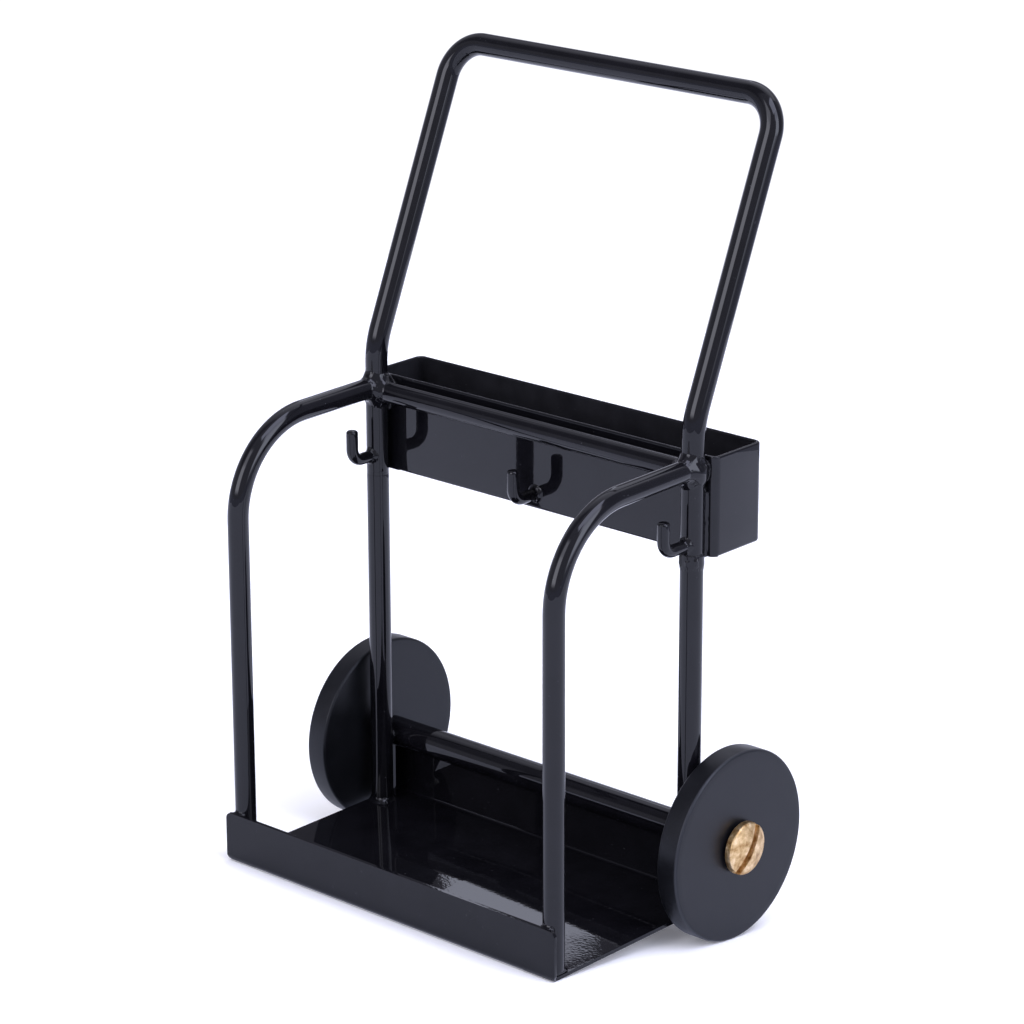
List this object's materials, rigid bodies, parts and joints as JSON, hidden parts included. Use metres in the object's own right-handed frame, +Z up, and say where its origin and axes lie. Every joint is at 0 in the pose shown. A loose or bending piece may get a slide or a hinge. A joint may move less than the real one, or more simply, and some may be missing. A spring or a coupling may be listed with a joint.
{
  "type": "torch cart",
  "caption": "Miniature oxy-acetylene torch cart: black rod frame with leaning handle hoop, side arches, folded base plate, rear tool tray, hooks and disc wheels on brass screws.",
  "frame": {"origin": "on the floor, under the middle of the cart's overall size across and front to back, with the cart standing at rest", "axes": "+Z up (gravity), +X to the cart's right wheel, -Y to the front lip, +Y to the wheels and tray; the uprights lean forward about 6.5 degrees because the wheels reach below the base plate"},
  "size_m": [0.0692, 0.0484, 0.11],
  "materials": {
    "black_enamel": "high gloss black enamel, slightly rippled, pooled round the joints",
    "wheel_black": "satin black, fine grain",
    "brass": "worn, lightly tarnished, brown in the slot"
  },
  "bodies": {
    "frame": {"base_plate": "black_enamel", "axle_bar": "black_enamel", "upright_left": "black_enamel", "upright_right": "black_enamel", "handle_hoop": "black_enamel", "side_arch_left": "black_enamel", "side_arch_right": "black_enamel", "cross_rod": "black_enamel", "tray": "black_enamel", "hook_left": "black_enamel", "hook_middle": "black_enamel", "hook_right": "black_enamel", "axle_screw_left": "brass", "axle_screw_right": "brass", "solder_arch_left": "black_enamel", "solder_arch_right": "black_enamel", "solder_cross_left": "black_enamel", "solder_cross_right": "black_enamel", "solder_upright_foot_left": "black_enamel", "solder_upright_foot_right": "black_enamel", "solder_arch_foot_left": "black_enamel", "solder_arch_foot_right": "black_enamel", "solder_hook_left": "black_enamel", "solder_hook_middle": "black_enamel", "solder_hook_right": "black_enamel"},
    "wheel_left": {"wheel_left": "wheel_black"},
    "wheel_right": {"wheel_right": "wheel_black"}
  },
  "joints": [
    {"name": "wheel_left_spin", "type": "hinge", "parent": "frame", "child": "wheel_left", "pos_m": [-0.031, 0.0114, 0.0128], "axis": [1, 0, 0], "continuous": true},
    {"name": "wheel_right_spin", "type": "hinge", "parent": "frame", "child": "wheel_right", "pos_m": [0.031, 0.0114, 0.0128], "axis": [1, 0, 0], "continuous": true}
  ]
}
